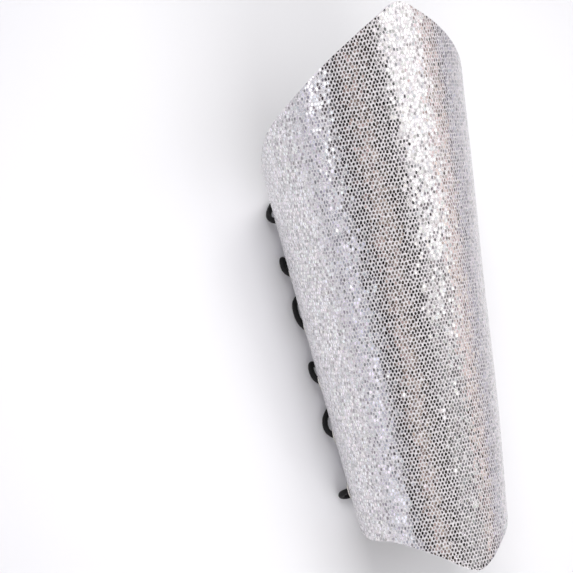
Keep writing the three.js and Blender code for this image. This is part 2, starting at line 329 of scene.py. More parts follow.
        # Foil has a faint rainbow of its own, different on each dot, and wears unevenly.
        tinted = add_node(tree, MIX, COLOURS, {
            "Factor": self.rainbow, 6: srgb(self.foil), 7: chance})
        wear = add_node(tree, MAP_RANGE, None, [
            lucks.outputs["Green"], 0.0, self.worn_share, self.worn_foil, 1.0])
        worn = add_node(tree, MIX, MULTIPLIED, {
            "Factor": 1.0, 6: tinted.outputs[2], 7: wear})
        speck = add_node(tree, MAP_RANGE, None, [height, *NOISE_SPAN, *self.speck])
        ground = add_node(tree, MIX, MULTIPLIED, {
            "Factor": 1.0, 6: srgb(self.ground), 7: speck})
        colour = add_node(tree, MIX, COLOURS, {
            "Factor": dot, 6: ground.outputs[2], 7: worn.outputs[2]})
        rough = add_node(tree, MIX, {"data_type": "FLOAT"}, {
            "Factor": dot, 2: self.ground_roughness, 3: self.foil_roughness})
        metal = add_node(tree, MIX, {"data_type": "FLOAT"}, {
            "Factor": dot, 2: self.ground_metal, 3: 1.0})
        set_inputs(tree, shader, {
            "Base Color": colour.outputs[2], "Metallic": metal, "Roughness": rough,
            "Normal": normals})
        return material


@dataclass(frozen=True)
class PaleCutEdge:
    """The cut edge of the coated cloth, whose pale backing looks dull and a little fibrous."""

    colour: str = "e2dfe4"
    shades: tuple[float, float] = (0.86, 1.0)
    fibres: Relief = Relief(0.25, 0.05, detail=3.0)
    roughness: float = 0.6

    def build(self) -> bpy.types.Material:
        """Makes the material.

        Returns:
            The finished material.
        """
        material, tree, shader = new_material("faux_leather_cut_edge")
        place = add_node(tree, "ShaderNodeTexCoord").outputs["Object"]
        fibres, normals = self.fibres.add(tree, place)
        shade = add_node(tree, MAP_RANGE, None, [fibres, *NOISE_SPAN, *self.shades])
        colour = add_node(tree, MIX, MULTIPLIED, {"Factor": 1.0, 6: srgb(self.colour), 7: shade})
        set_inputs(tree, shader, {
            "Base Color": colour.outputs[2], "Normal": normals, "Roughness": self.roughness})
        return material


@dataclass(frozen=True)
class BlackLiningCloth:
    """Brushed black warp-knit lining, which looks matte and nearly even."""

    colour: str = "0e0c0d"
    # The colour's painted shade in the relief's low places and painted light on its tops.
    shades: tuple[float, float] = (0.7, 1.5)
    wale: float = 3.457  # mm from column to column; a real knit's 0.55 mm is too fine to show
    wale_waver: float = 1.2
    nap: float = 0.4  # mm
    depth: float = 0.08  # mm
    roughness: float = 0.9
    sheen: float = 0.15

    def build(self) -> bpy.types.Material:
        """Makes the material, whose knit follows the sheet's flat coordinates.

        Returns:
            The finished material.
        """
        material, tree, shader = new_material("black_lining_knit")
        flat = add_node(tree, "ShaderNodeUVMap", {"uv_map": "flat"})
        columns = add_node(tree, "ShaderNodeTexWave", {
            "wave_type": "BANDS", "bands_direction": "X"}, {
            "Vector": flat, "Scale": WAVE_PERIOD / (self.wale * MM),
            "Distortion": self.wale_waver, "Detail": 2.0, "Detail Scale": 2.0})
        nap = add_node(tree, NOISE, None, {
            "Vector": flat, "Scale": 1 / (self.nap * MM), "Detail": 3.0})
        height = add_node(tree, MATH, "ADD", [columns.outputs["Fac"], nap])
        bump = add_node(tree, "ShaderNodeBump", None, {
            "Height": height, "Distance": self.depth * MM, "Strength": 0.7})
        # The colour follows the relief's height: painted shade in the low places between the ribs
        # and in the nap, and painted light on their tops.
        shade = add_node(tree, MAP_RANGE, None, [height, 0.4, 1.6, *self.shades])
        colour = add_node(tree, MIX, MULTIPLIED, {"Factor": 1.0, 6: srgb(self.colour), 7: shade})
        set_inputs(tree, shader, {
            "Base Color": colour.outputs[2], "Normal": bump, "Roughness": self.roughness,
            "Sheen Weight": self.sheen, "Sheen Roughness": 0.5})
        return material


@dataclass(frozen=True)
class NickelPlate:
    """Nickel-plated brass, pressed and tumbled bright, with faint marks of the setting tool."""

    colour: str = "dedbd4"
    marks: Relief = Relief(0.6, 0.015, strength=0.5, detail=3.0, roughness=0.6)
    roughness: tuple[float, float] = (0.16, 0.3)  # from bare to marked

    def build(self) -> bpy.types.Material:
        """Makes the material.

        Returns:
            The finished material.
        """
        material, tree, shader = new_material("nickel_plated_brass")
        place = add_node(tree, "ShaderNodeTexCoord").outputs["Object"]
        marks, normals = self.marks.add(tree, place)
        rough = add_node(tree, MAP_RANGE, None, [marks, *NOISE_SPAN, *self.roughness])
        set_inputs(tree, shader, {
            "Base Color": srgb(self.colour), "Metallic": 1.0, "Roughness": rough,
            "Normal": normals})
        return material


@dataclass(frozen=True)
class BraidedCord:
    """Black polyester cord with a braided sheath of eight yarns each way, which looks matte."""

    colour: str = "0c0b0c"
    shades: tuple[float, float] = (0.35, 1.3)  # painted shade between the yarns and painted light on top of them
    fibres: Relief = Relief(0.12, 0.03, strength=0.6)
    roughness: float = 0.6
    specular: float = 0.3
    sheen: float = 0.05

    def build(self) -> bpy.types.Material:
        """Makes the material, which reads the braid's height from the mesh.

        Returns:
            The finished material.
        """
        material, tree, shader = new_material("braided_polyester_cord")
        braid = add_node(tree, "ShaderNodeAttribute", {"attribute_name": "braid"}).outputs["Fac"]
        place = add_node(tree, "ShaderNodeTexCoord").outputs["Object"]
        _, normals = self.fibres.add(tree, place)
        # The colour is painted darker between the yarns, as shade in the grooves, and paler on top
        # of them, as light.
        shade = add_node(tree, MAP_RANGE, None, [braid, 0.0, 1.0, *self.shades])
        colour = add_node(tree, MIX, MULTIPLIED, {"Factor": 1.0, 6: srgb(self.colour), 7: shade})
        set_inputs(tree, shader, {
            "Base Color": colour.outputs[2], "Normal": normals, "Roughness": self.roughness,
            "Specular IOR Level": self.specular, "Sheen Weight": self.sheen,
            "Sheen Roughness": 0.4})
        return material


# Objects

def add_object(name: str, data: bpy.types.ID) -> bpy.types.Object:
    """Adds an object to the scene.

    Args:
        name: Its name.
        data: Its mesh, light or camera.

    Returns:
        The object.
    """
    added = bpy.data.objects.new(name, data)
    bpy.context.collection.objects.link(added)
    return added


def add_mesh(name: str, bm: bmesh.types.BMesh) -> bpy.types.Object:
    """Adds an object with a finished mesh, and frees what the mesh was built in.

    Args:
        name: The name of the object and its mesh.
        bm: The finished mesh.

    Returns:
        The object.
    """
    mesh = bpy.data.meshes.new(name)
    bm.to_mesh(mesh)
    bm.free()
    return add_object(name, mesh)


def axes_at(place: Vector, x: Vector, y: Vector, z: Vector) -> Matrix:
    """Gives the matrix that moves the origin to a place and turns the axes to x, y and z."""
    return Matrix.Translation(place) @ Matrix((x, y, z)).transposed().to_4x4()


def select_only(piece: bpy.types.Object) -> None:
    """Selects one object alone and makes it the active one."""
    bpy.ops.object.select_all(action="DESELECT")
    piece.select_set(True)
    bpy.context.view_layer.objects.active = piece


def finish_piece(piece: bpy.types.Object, node: str) -> None:
    """Ties a piece to the CAD model and reports it.

    Args:
        piece: The finished piece.
        node: The CAD node that it stands for.
    """
    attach(piece, ROOT)
    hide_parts(node)
    log.info("%s: %d faces, for %s", piece.name, len(piece.data.polygons), node)


# The sheet's form

class Side(Enum):
    """A long side of the bracer, with the sign of its X."""

    LEFT = -1
    RIGHT = 1


@dataclass(frozen=True)
class EndCut:
    """The cut of one end of the sheet, over half its width."""

    sign: int  # 1 at the elbow, -1 at the wrist
    point: float  # mm that the point stands out past the corners
    corner: float  # mm, the corner's radius
    fall: tuple[float, ...]  # shares of the point's length, one for each share across
    across: tuple[float, ...] = (0.0, 0.08, 0.2, 0.4, 0.6, 0.8, 1.0)  # shares of the half width

    def fall_at(self, across: float) -> float:
        """Reads the smooth curve of the cut.

        Args:
            across: Share of the half width, from the middle.

        Returns:
            How far the cut falls back, as a share of the point's length.
        """
        last = len(self.across) - 1
        i = min(next((n for n in range(last) if self.across[n + 1] >= across), last - 1), last - 1)
        span = self.across[i + 1] - self.across[i]
        t = (across - self.across[i]) / span

        def slope(n: int) -> float:
            """Gives the curve's slope at one row of the table."""
            if n == 0:
                return 0.0
            after = min(n + 1, last)
            return (self.fall[after] - self.fall[n - 1]) / (self.across[after] - self.across[n - 1])

        return (
            self.fall[i] * (2 * t**3 - 3 * t**2 + 1)
            + slope(i) * span * (t**3 - 2 * t**2 + t)
            + self.fall[i + 1] * (3 * t**2 - 2 * t**3)
            + slope(i + 1) * span * (t**3 - t**2))


@dataclass(frozen=True)
class Sheet:
    """The curled sheet's sizes in millimetres, as the CAD model has them."""

    length: float = 240.0  # from tip to tip
    elbow_width: float = 277.0  # flat, in the plane of the tip
    wrist_width: float = 168.0
    curl: float = math.radians(273)  # that the sheet turns through between its long edges
    crown: float = 0.25  # how much tighter the curve is at the crown
    shell_thick: float = 1.4
    lining_thick: float = 1.0
    layer_gap: float = 0.25  # for the glue
    lining_inset: float = 1.0
    eyelets_per_side: int = 6
    eyelet_inset: float = 9.0  # from the long edge
    eyelet_margin: float = 14.0  # from the corners
    steps: int = 400  # of half the cross section
    elbow: EndCut = EndCut(1, 58.0, 9.0, (0.0, 0.087, 0.245, 0.5, 0.69, 0.91, 1.0))
    wrist: EndCut = EndCut(-1, 30.0, 5.0, (0.0, 0.09, 0.33, 0.63, 0.74, 0.93, 1.0))

    @property
    def wall(self) -> float:
        """Thickness of both layers with the glue line, in millimetres."""
        return self.shell_thick + self.layer_gap + self.lining_thick

    @property
    def taper(self) -> float:
        """Growth of the flat width for each millimetre along the bracer."""
        return (self.elbow_width - self.wrist_width) / self.length

    def width(self, y: float) -> float:
        """Gives the sheet's flat width at a place along the bracer."""
        return self.wrist_width + self.taper * (y + self.length / 2)

    def corner_y(self, end: EndCut) -> float:
        """Gives the Y of an end's corners, before they are rounded."""
        return end.sign * (self.length / 2 - end.point)

    @property
    def eyelet_pitch(self) -> float:
        """Spacing of the eyelets along the bracer, in millimetres."""
        room = self.corner_y(self.elbow) - self.corner_y(self.wrist) - 2 * self.eyelet_margin
        return room / (self.eyelets_per_side - 1)

    def eyelet_y(self, row: int) -> float:
        """Gives the Y of a row of eyelets, counted from the elbow end."""
        return self.corner_y(self.elbow) - self.eyelet_margin - row * self.eyelet_pitch


@dataclass(frozen=True)
class Wave:
    """One slow wave of the sheet."""

    height: float  # mm
    across: float  # radians over the whole width
    along: float  # mm for each radian along the bracer
    start: float  # radians


@dataclass
class SheetForm:
    """Works out places on the curled sheet."""

    sheet: Sheet
    shift: Vector  # mm, from the sheet's own place to the CAD model's
    waves: tuple[Wave, ...] = (
        Wave(0.30, 9.0, 34, 0.6), Wave(0.20, 17.0, -23, 2.1), Wave(0.14, 6.0, 15, 4.0))
    waves_end: float = 0.42  # share of the width, from the crown, past which there are none
    waves_fade: float = 0.12  # share of the width over which they die out

    def __post_init__(self) -> None:
        """Adds up the cross section at unit width, from the crown to a long edge."""
        s = self.sheet
        along = np.linspace(0.0, 0.5, s.steps + 1)
        self.slope = s.curl * (along + s.crown * np.sin(math.tau * along) / math.tau)
        middle = (self.slope[1:] + self.slope[:-1]) / 2
        step = 0.5 / s.steps
        self.out = np.concatenate([[0.0], np.cumsum(np.cos(middle) * step)])
        self.down = np.concatenate([[0.0], np.cumsum(np.sin(middle) * step)])
        self.along = along

    def frame_at(self, share: float, y: float, lift: float = 0.0) -> tuple[Vector, Vector, Vector]:
        """Finds a point over or under the outer face.

        Args:
            share: Place across the sheet, from -0.5 at the left edge to 0.5 at the right one.
            y: Place along the bracer in millimetres.
            lift: Height over the outer face in millimetres.

        Returns:
            The point in millimetres, and the directions to the nearest long edge and outwards.
        """
        s = self.sheet
        side = -1.0 if share < 0 else 1.0
        place = min(abs(share), 0.5)
        out = float(np.interp(place, self.along, self.out))
        up = float(self.down[-1] - np.interp(place, self.along, self.down))
        slope = float(np.interp(place, self.along, self.slope))
        edgeward = Vector((side * math.cos(slope), 0.0, -math.sin(slope)))
        along = Vector((side * out * s.taper, 1.0, up * s.taper)).normalized()
        outward = (edgeward.cross(along) * side).normalized()
        width = s.width(y)
        point = Vector((side * out * width, y, up * width)) + outward * lift + self.shift
        return point, edgeward, outward

    def beside_edge(self, side: Side, from_edge: float, y: float, lift: float) -> Vector:
        """Finds a point by its distance from a long edge, which is negative past the edge."""
        share = 0.5 - max(from_edge, 0.0) / self.sheet.width(y)
        point, edgeward, _ = self.frame_at(side.value * share, y, lift)
        return point + edgeward * max(-from_edge, 0.0)

    def eyelet_matrix(self, side: Side, row: int) -> Matrix:
        """Gives the place of an eyelet in metres, with Z out of the face."""
        y = self.sheet.eyelet_y(row)
        share = 0.5 - self.sheet.eyelet_inset / self.sheet.width(y)
        point, edgeward, outward = self.frame_at(side.value * share, y)
        return axes_at(point * MM, edgeward, outward.cross(edgeward).normalized(), outward)

    def flat(self, share: float, y: float) -> tuple[float, float]:
        """Unrolls a point of the sheet, which is part of a cone, into flat metres."""
        apex = -self.sheet.length / 2 - self.sheet.wrist_width / self.sheet.taper
        angle = share * self.sheet.taper
        return (y - apex) * math.sin(angle) * MM, (y - apex) * math.cos(angle) * MM

    def dent(self, share: float, y: float) -> float:
        """Gives the sheet's slow waves in millimetres, which die out towards the laced edges."""
        fade = min(1.0, max(0.0, (self.waves_end - abs(share)) / self.waves_fade))
        return fade * sum(
            wave.height * math.sin(wave.across * share + y / wave.along + wave.start)
            for wave in self.waves)


# Pieces of cloth

@dataclass
class SheetLayer:
    """One layer of the sheet as a fine mesh with a rounded cut edge and the eyelets' holes."""

    form: SheetForm
    name: str
    node: str
    slot: str
    lift: float  # mm, the layer's outer face over the shell's outer face
    thick: float  # mm
    inset: float  # mm inside the sheet's own outline
    edge_round: float  # mm
    columns: int = 150
    rows: int = 150
    corner_columns: int = 6
    least_column: float = 1e-4  # of the half width, under which two columns are one
    cut_slant: float = 1.13  # how much further an inset reaches lengthways at the slanted cuts
    edge_steps: int = 3
    edge_angle: float = math.radians(50)  # from which an edge is rounded
    hole_radius: float = 3.15  # mm
    hole_sides: int = 24
    punch_depth: float = 12.0  # mm

    def cut_y(self, end: EndCut, share: float) -> float:
        """Finds where an end of the layer is cut.

        Args:
            end: The end's cut.
            share: Place across the sheet.

        Returns:
            The cut's Y in millimetres.
        """
        sheet = self.form.sheet
        half = sheet.width(sheet.corner_y(end)) / 2
        fall = end.point * end.fall_at(min(abs(share) * 2, 1.0))
        radius = end.corner - self.inset
        inside = max(radius - ((1 - abs(share) * 2) * half - self.inset), 0.0)
        rounding = radius - math.sqrt(max(radius**2 - inside**2, 0.0))
        return end.sign * (sheet.length / 2 - fall - self.inset * self.cut_slant - rounding)

    def across(self) -> list[float]:
        """Lists the mesh's columns as shares of the half width, closer together at the corners."""
        places = [2 * i / self.columns - 1 for i in range(self.columns + 1)]
        sheet = self.form.sheet
        for end in (sheet.elbow, sheet.wrist):
            half = sheet.width(sheet.corner_y(end)) / 2 - self.inset
            radius = end.corner - self.inset
            for i in range(1, self.corner_columns + 1):
                turn = math.pi / 2 * i / (self.corner_columns + 1)
                away = radius * (1 - math.cos(turn)) / half
                places += [1 - away, away - 1]
        places.sort()
        return places[:1] + [
            place for last, place in zip(places, places[1:]) if place - last > self.least_column]

    def grid(self) -> bpy.types.Object:
        """Builds the outer face.

        Returns:
            The object, with the flat coordinates in a UV map.
        """
        sheet = self.form.sheet
        bm = bmesh.new()
        layer = bm.loops.layers.uv.new("flat")
        flats: dict[bmesh.types.BMVert, tuple[float, float]] = {}
        lines = []
        for place in self.across():
            ends = []
            for end in (sheet.wrist, sheet.elbow):
                share = place / 2 * (1 - 2 * self.inset / sheet.width(sheet.corner_y(end)))
                ends.append((share, self.cut_y(end, share)))
            line = []
            for j in range(self.rows + 1):
                t = j / self.rows
                share = ends[0][0] + (ends[1][0] - ends[0][0]) * t
                y = ends[0][1] + (ends[1][1] - ends[0][1]) * t
                point = self.form.frame_at(share, y, self.lift + self.form.dent(share, y))[0]
                vert = bm.verts.new(point * MM)
                flats[vert] = self.form.flat(share, y)
                line.append(vert)
            lines.append(line)
        for left, right in zip(lines, lines[1:]):
            for j in range(self.rows):
                face = bm.faces.new((left[j], right[j], right[j + 1], left[j + 1]))
                face.smooth = True
                for loop in face.loops:
                    loop[layer].uv = flats[loop.vert]
        return add_mesh(self.name, bm)

    def flat_area(self) -> float:
        """Adds up the area that the layer was cut to before it was curled.

        Returns:
            The area in square metres.
        """
        sheet = self.form.sheet
        area = 0.0
        places = self.across()
        for left, right in zip(places, places[1:]):
            share = (left + right) / 4
            low, high = self.cut_y(sheet.wrist, share), self.cut_y(sheet.elbow, share)
            width = sheet.width((high + low) / 2) - 2 * self.inset
            area += (right - left) / 2 * (high - low) * width
        return area * MM**2

    def punch(self, piece: bpy.types.Object) -> None:
        """Cuts the eyelets' holes.

        Args:
            piece: The layer, which already has its thickness.
        """
        bm = bmesh.new()
        for side in Side:
            for row in range(self.form.sheet.eyelets_per_side):
                bmesh.ops.create_cone(
                    bm, cap_ends=True, segments=self.hole_sides, radius1=self.hole_radius * MM,
                    radius2=self.hole_radius * MM, depth=self.punch_depth * MM,
                    matrix=self.form.eyelet_matrix(side, row))
        cutter = add_mesh("punch", bm)
        cut = piece.modifiers.new("holes", "BOOLEAN")
        cut.operation = "DIFFERENCE"
        cut.solver = "EXACT"
        cut.object = cutter
        select_only(piece)
        bpy.ops.object.modifier_apply(modifier=cut.name)
        bpy.data.objects.remove(cutter)

    def build(self, materials: list[bpy.types.Material]) -> bpy.types.Object:
        """Builds the layer and puts it in the CAD node's place.

        Args:
            materials: The face's finish, and that of the cut edge and the back.

        Returns:
            The finished piece.
        """
        piece = self.grid()
        for material in materials:
            piece.data.materials.append(material)
        select_only(piece)
        wall = piece.modifiers.new("wall", "SOLIDIFY")
        wall.thickness = self.thick * MM
        wall.offset = -1.0
        wall.material_offset = len(materials) - 1
        wall.material_offset_rim = len(materials) - 1
        edge = piece.modifiers.new("edge", "BEVEL")
        edge.width = self.edge_round * MM
        edge.segments = self.edge_steps
        edge.limit_method = "ANGLE"
        edge.angle_limit = self.edge_angle
        edge.material = len(materials) - 1
        for name in (wall.name, edge.name):
            bpy.ops.object.modifier_apply(modifier=name)
        self.punch(piece)
        finish_piece(piece, self.node)
        area = self.flat_area()
        log.info("%s: cut from %.0f square centimetres", piece.name, area / CM2)
        return piece


# Eyelets

@dataclass
class EyeletSet:
    """Twelve eyelets, each with a domed flange outside, a barrel and a rolled rim inside."""

    form: SheetForm
    bore: float = 2.5  # mm, radius, as the flange's and the roll's
    barrel_wall: float = 0.4
    flange: float = 4.7
    flange_height: float = 0.9
    roll: float = 3.9
    roll_height: float = 0.85
    seat: float = 0.25  # mm that the flange stands off the curved face
    sag: float = 0.15  # mm more that the rim inside stands off
    sides: int = 40
    smooth_angle: float = math.radians(60)
    turn: float = 0.7  # radians from one eyelet to the next, so that their marks differ

    def profile(self) -> list[tuple[float, float]]:
        """Lists the closed profile as radius and height over the face, in millimetres."""
        low = -self.form.sheet.wall - self.seat - self.sag
        barrel = self.bore + self.barrel_wall
        top = self.seat + self.flange_height
        return [
            (barrel, low), (barrel, self.seat), (self.flange - 0.25, self.seat),
            (self.flange, self.seat + 0.15), (self.flange - 0.1, self.seat + 0.4),
            (self.flange - 0.6, self.seat + 0.7), (self.flange - 1.2, top - 0.04),
            (barrel + 0.25, top - 0.06), (self.bore + 0.1, self.seat + 0.5),
            (self.bore, self.seat), (self.bore, low - 0.2),
            (self.bore + 0.15, low - 0.6), (barrel + 0.2, low - self.roll_height),
            (self.roll - 0.3, low - 0.7), (self.roll, low - 0.3), (self.roll - 0.1, low)]

    def master(self) -> bpy.types.Object:
        """Models one eyelet by drawing a ring out along its profile.

        Returns:
            The eyelet, standing on the origin with Z out of the face.
        """
        bpy.ops.object.select_all(action="DESELECT")
        rows = self.profile()
        radius, height = rows[0]
        bpy.ops.mesh.primitive_circle_add(
            vertices=self.sides, radius=radius * MM, location=(0, 0, height * MM))
        piece = bpy.context.object
        bpy.ops.object.transform_apply(location=True)
        bpy.ops.object.mode_set(mode="EDIT")
        bpy.ops.mesh.select_all(action="SELECT")
        for new_radius, new_height in [*rows[1:], rows[0]]:
            bpy.ops.mesh.extrude_region_move()
            bpy.ops.transform.resize(
                value=(new_radius / radius, new_radius / radius, 1.0), center_override=(0, 0, 0))
            bpy.ops.transform.translate(value=(0, 0, (new_height - height) * MM))
            radius, height = new_radius, new_height
        bpy.ops.mesh.select_all(action="SELECT")
        bpy.ops.mesh.remove_doubles(threshold=1e-6)
        bpy.ops.mesh.normals_make_consistent(inside=False)
        bpy.ops.object.mode_set(mode="OBJECT")
        bpy.ops.object.shade_smooth_by_angle(angle=self.smooth_angle)
        return piece

    def build(self, material: bpy.types.Material) -> None:
        """Copies the eyelet to its twelve places.

        Args:
            material: The eyelets' finish.
        """
        master = self.master()
        for side in Side:
            for row in range(self.form.sheet.eyelets_per_side):
                name = f"eyelet_{side.name.lower()}_{row + 1}"
                mesh = master.data.copy()
                turn = Matrix.Rotation(self.turn * row + side.value, 4, "Z")
                mesh.transform(self.form.eyelet_matrix(side, row) @ turn)
                mesh.materials.append(material)
                finish_piece(add_object(f"{name}_ring", mesh), name)
        bpy.data.objects.remove(master)


# The lace

@dataclass(frozen=True)
class LoopRow:
    """How the lace lies outside one eyelet, as the CAD model has it."""

    crest: float  # share of the eyelets' spacing, from the eyelet to the loop's top
    over: float  # the same to where the lace turns round the long edge
    loose: float  # how much higher the loop stands than a tight one


def between(p: Vector, q: Vector, start: float, end: float, t: float) -> Vector:
    """Gives the point that is at p when t is at the start, and at q when it is at the end."""
    return p * ((end - t) / (end - start)) + q * ((t - start) / (end - start))


@dataclass
class Lace:
    """The braided cord, along the same route as the CAD model's lace."""

    form: SheetForm
    radius: float = 1.3  # mm
    loop_lift: float = 3.4  # mm over the face, where a loop is tight
    edge_clearance: float = 0.7  # mm
    crossing_lift: float = 1.9  # mm that crossing strands keep off each other's middle
    strand_drop: float = 4.3  # mm under the lining
    turn_drop: float = 1.9  # mm under the lining, at the eyelet
    knot_radius: float = 4.0  # mm
    knot_ahead: float = 9.0  # mm past the first eyelets
    twist_radius: float = 1.45  # mm from the knot's middle line to the strands wound round it
    twist_reach: float = 4.2  # mm to each side of the knot's middle
    twist_turns: float = 1.5
    twist_steps: int = 10
    tail_length: float = 13.0  # mm
    tail_out: float = 0.55  # share of the tail's length that its end lies to the side
    tail_ahead: float = 0.85  # the same along the bracer
    tail_bend: float = 0.1  # the same, that the tail bows out on its way
    sides: int = 20
    step: float = 0.55  # mm between rings
    curve_steps: int = 24  # between two points of the route
    yarns: int = 8
    yarn_flatness: float = 0.7  # 1 is a sine, and less is flatter on top
    relief: float = 0.13  # mm
    left: tuple[LoopRow, ...] = (
        LoopRow(0.22, 0.42, 1.75), LoopRow(0.33, 0.0, 1.55), LoopRow(0.5, 0.64, 1.4),
        LoopRow(0.36, 0.31, 1.4), LoopRow(0.33, 0.53, 1.6), LoopRow(-0.08, -0.1, 2.25))
    right: tuple[LoopRow, ...] = (
        LoopRow(0.08, 0.3, 1.7), LoopRow(0.26, 0.5, 1.3), LoopRow(0.1, 0.2, 1.4),
        LoopRow(0.3, 0.55, 1.35), LoopRow(0.12, 0.2, 1.5), LoopRow(0.04, 0.1, 2.2))

    def one_pass(self, side: Side, row: int, arriving: int) -> list[Vector]:
        """Lists the lace's points through one eyelet and over the long edge.

        Args:
            side: The eyelet's side.
            row: Its row, counted from the elbow end.
            arriving: 1 where the strand comes from the row before, 0 where it comes across.

        Returns:
            The points in millimetres.
        """
        sheet = self.form.sheet
        loop = (self.left if side is Side.LEFT else self.right)[row]
        top = self.radius + (self.loop_lift - self.radius) * loop.loose
        round_edge = self.radius + self.edge_clearance
        inset, wall = sheet.eyelet_inset, sheet.wall
        # From the long edge, over the face, and along in shares of the eyelets' spacing.
        way = (
            (0.78 * inset, -wall - self.strand_drop, -0.1 * arriving),
            (0.97 * inset, -wall - self.turn_drop, -0.02 * arriving),
            (0.99 * inset, 0.7, 0.02 * loop.crest),
            (0.83 * inset, 0.85 * top, 0.4 * loop.crest),
            (0.47 * inset, top, loop.crest),
            (0.0, round_edge, loop.over),
            (-0.95 * round_edge, -0.2 * wall, loop.over + 0.05))
        y = sheet.eyelet_y(row)
        return [
            self.form.beside_edge(side, from_edge, y + run * sheet.eyelet_pitch, lift)
            for from_edge, lift, run in way]

    def strand(self, first: Side) -> list[Vector]:
        """Lists one strand's points, from the wrist end's eyelet to the elbow end.

        Args:
            first: The side of the strand's first eyelet.

        Returns:
            The points in millimetres.
        """
        points: list[Vector] = []
        side = first
        last_row = self.form.sheet.eyelets_per_side - 1
        for row in range(last_row, -1, -1):
            way = self.one_pass(side, row, 0 if row == last_row else 1)
            if points:
                crossing = (points[-1] + way[0]) / 2
                crossing.z += first.value * (1 if row % 2 else -1) * self.crossing_lift
                points.append(crossing)
            points += way
            side = Side(-side.value)
        return points

    def route(self) -> list[Vector]:
        """Joins both strands at the wrist end and ties them at the elbow end, with short tails.

        Returns:
            The points in millimetres.
        """
        shift = self.form.shift
        ground = self.knot_radius - 2 * self.radius + shift.z
        knot = Vector((
            shift.x, self.form.sheet.eyelet_y(0) + self.knot_ahead + shift.y,
            ground + self.twist_radius))

        def knotted(points: list[Vector]) -> list[Vector]:
            """Winds a strand round the other one and adds its tail."""
            side = math.copysign(1.0, points[-1].x - shift.x)
            turned = list(points)
            for i in range(self.twist_steps + 1):
                t = i / self.twist_steps
                angle = math.tau * self.twist_turns * (t if side < 0 else 1 - t)
                angle += 0.0 if side < 0 else math.pi
                turned.append(knot + Vector((
                    side * self.twist_reach * (1 - 2 * t),
                    self.twist_radius * math.cos(angle), self.twist_radius * math.sin(angle))))
            out = -side * self.tail_length
            end = knot + Vector((self.tail_out * out, self.tail_ahead * self.tail_length, 0.0))
            end.z = ground
            middle = (turned[-1] + end) / 2 + Vector((self.tail_bend * out, 0.0, 0.0))
            middle.z = (ground + middle.z) / 2
            return [*turned, middle, end]

        left = knotted(self.strand(Side.LEFT))
        return [*reversed(left), *knotted(self.strand(Side.RIGHT))]

    def smooth(self, points: list[Vector]) -> list[Vector]:
        """Draws a centripetal curve through the points, at even steps.

        Args:
            points: The route's points in millimetres.

        Returns:
            Many points in millimetres, about one step apart.
        """
        padded = [points[0] * 2 - points[1], *points, points[-1] * 2 - points[-2]]
        dense: list[Vector] = []
        for a, b, c, d in zip(padded, padded[1:], padded[2:], padded[3:]):
            t0 = 0.0
            t1, t2, t3 = itertools.accumulate(
                max((q - p).length, LEAST_RUN) ** 0.5 for p, q in ((a, b), (b, c), (c, d)))
            for i in range(self.curve_steps):
                t = t1 + (t2 - t1) * i / self.curve_steps
                near = between(a, b, t0, t1, t)
                here = between(b, c, t1, t2, t)
                far = between(c, d, t2, t3, t)
                first, last = between(near, here, t0, t2, t), between(here, far, t1, t3, t)
                dense.append(between(first, last, t1, t2, t))
        dense.append(points[-1].copy())
        runs = np.array([0.0, *((q - p).length for p, q in zip(dense, dense[1:]))]).cumsum()
        count = int(runs[-1] / self.step)
        places = np.linspace(0.0, runs[-1], count + 1)
        table = np.array([tuple(point) for point in dense])
        return [Vector(row) for row in np.stack(
            [np.interp(places, runs, table[:, axis]) for axis in range(3)], axis=1)]

    def braid(self, turn: float, run: float) -> float:
        """Gives the height of the braid's yarns.

        Args:
            turn: Place round the cord, from 0 to 1.
            run: Place along the cord in millimetres.

        Returns:
            0 between the yarns to 1 on top of one.
        """
        lay = math.tau * self.radius / self.yarns  # mm for each yarn's width along the cord
        right = self.yarns * turn + run / (2 * lay)
        left = self.yarns * turn - run / (2 * lay)
        over = (math.floor(right) + math.floor(left)) % 2
        yarn = right if over else left
        return abs(math.sin(math.pi * yarn)) ** self.yarn_flatness

    def build(self, material: bpy.types.Material) -> bpy.types.Object:
        """Builds the cord as a tube with the braid in its surface.

        Args:
            material: The cord's finish.

        Returns:
            The finished piece.
        """
        centres = self.smooth(self.route())
        bm = bmesh.new()
        height = bm.verts.layers.float.new("braid")
        ahead = (centres[1] - centres[0]).normalized()
        side = ahead.orthogonal().normalized()
        rings = []
        for i, centre in enumerate(centres):
            before, after = centres[max(i - 1, 0)], centres[min(i + 1, len(centres) - 1)]
            new_ahead = (after - before).normalized()
            side = (ahead.rotation_difference(new_ahead) @ side).normalized()
            side = (side - new_ahead * side.dot(new_ahead)).normalized()
            ahead = new_ahead
            up = ahead.cross(side)
            ring = []
            for k in range(self.sides):
                turn = k / self.sides
                yarn = self.braid(turn, i * self.step)
                reach = self.radius - self.relief * (1 - yarn)
                angle = math.tau * turn
                vert = bm.verts.new(
                    (centre + (side * math.cos(angle) + up * math.sin(angle)) * reach) * MM)
                vert[height] = yarn
                ring.append(vert)
            rings.append(ring)
        for ring, following in zip(rings, rings[1:]):
            for k in range(self.sides):
                j = (k + 1) % self.sides
                bm.faces.new((ring[k], ring[j], following[j], following[k])).smooth = True
        bm.faces.new(list(reversed(rings[0])))
        bm.faces.new(rings[-1])
        piece = add_mesh("braided_lace", bm)
        piece.data.materials.append(material)
        finish_piece(piece, "lace")
        return piece


# The studio

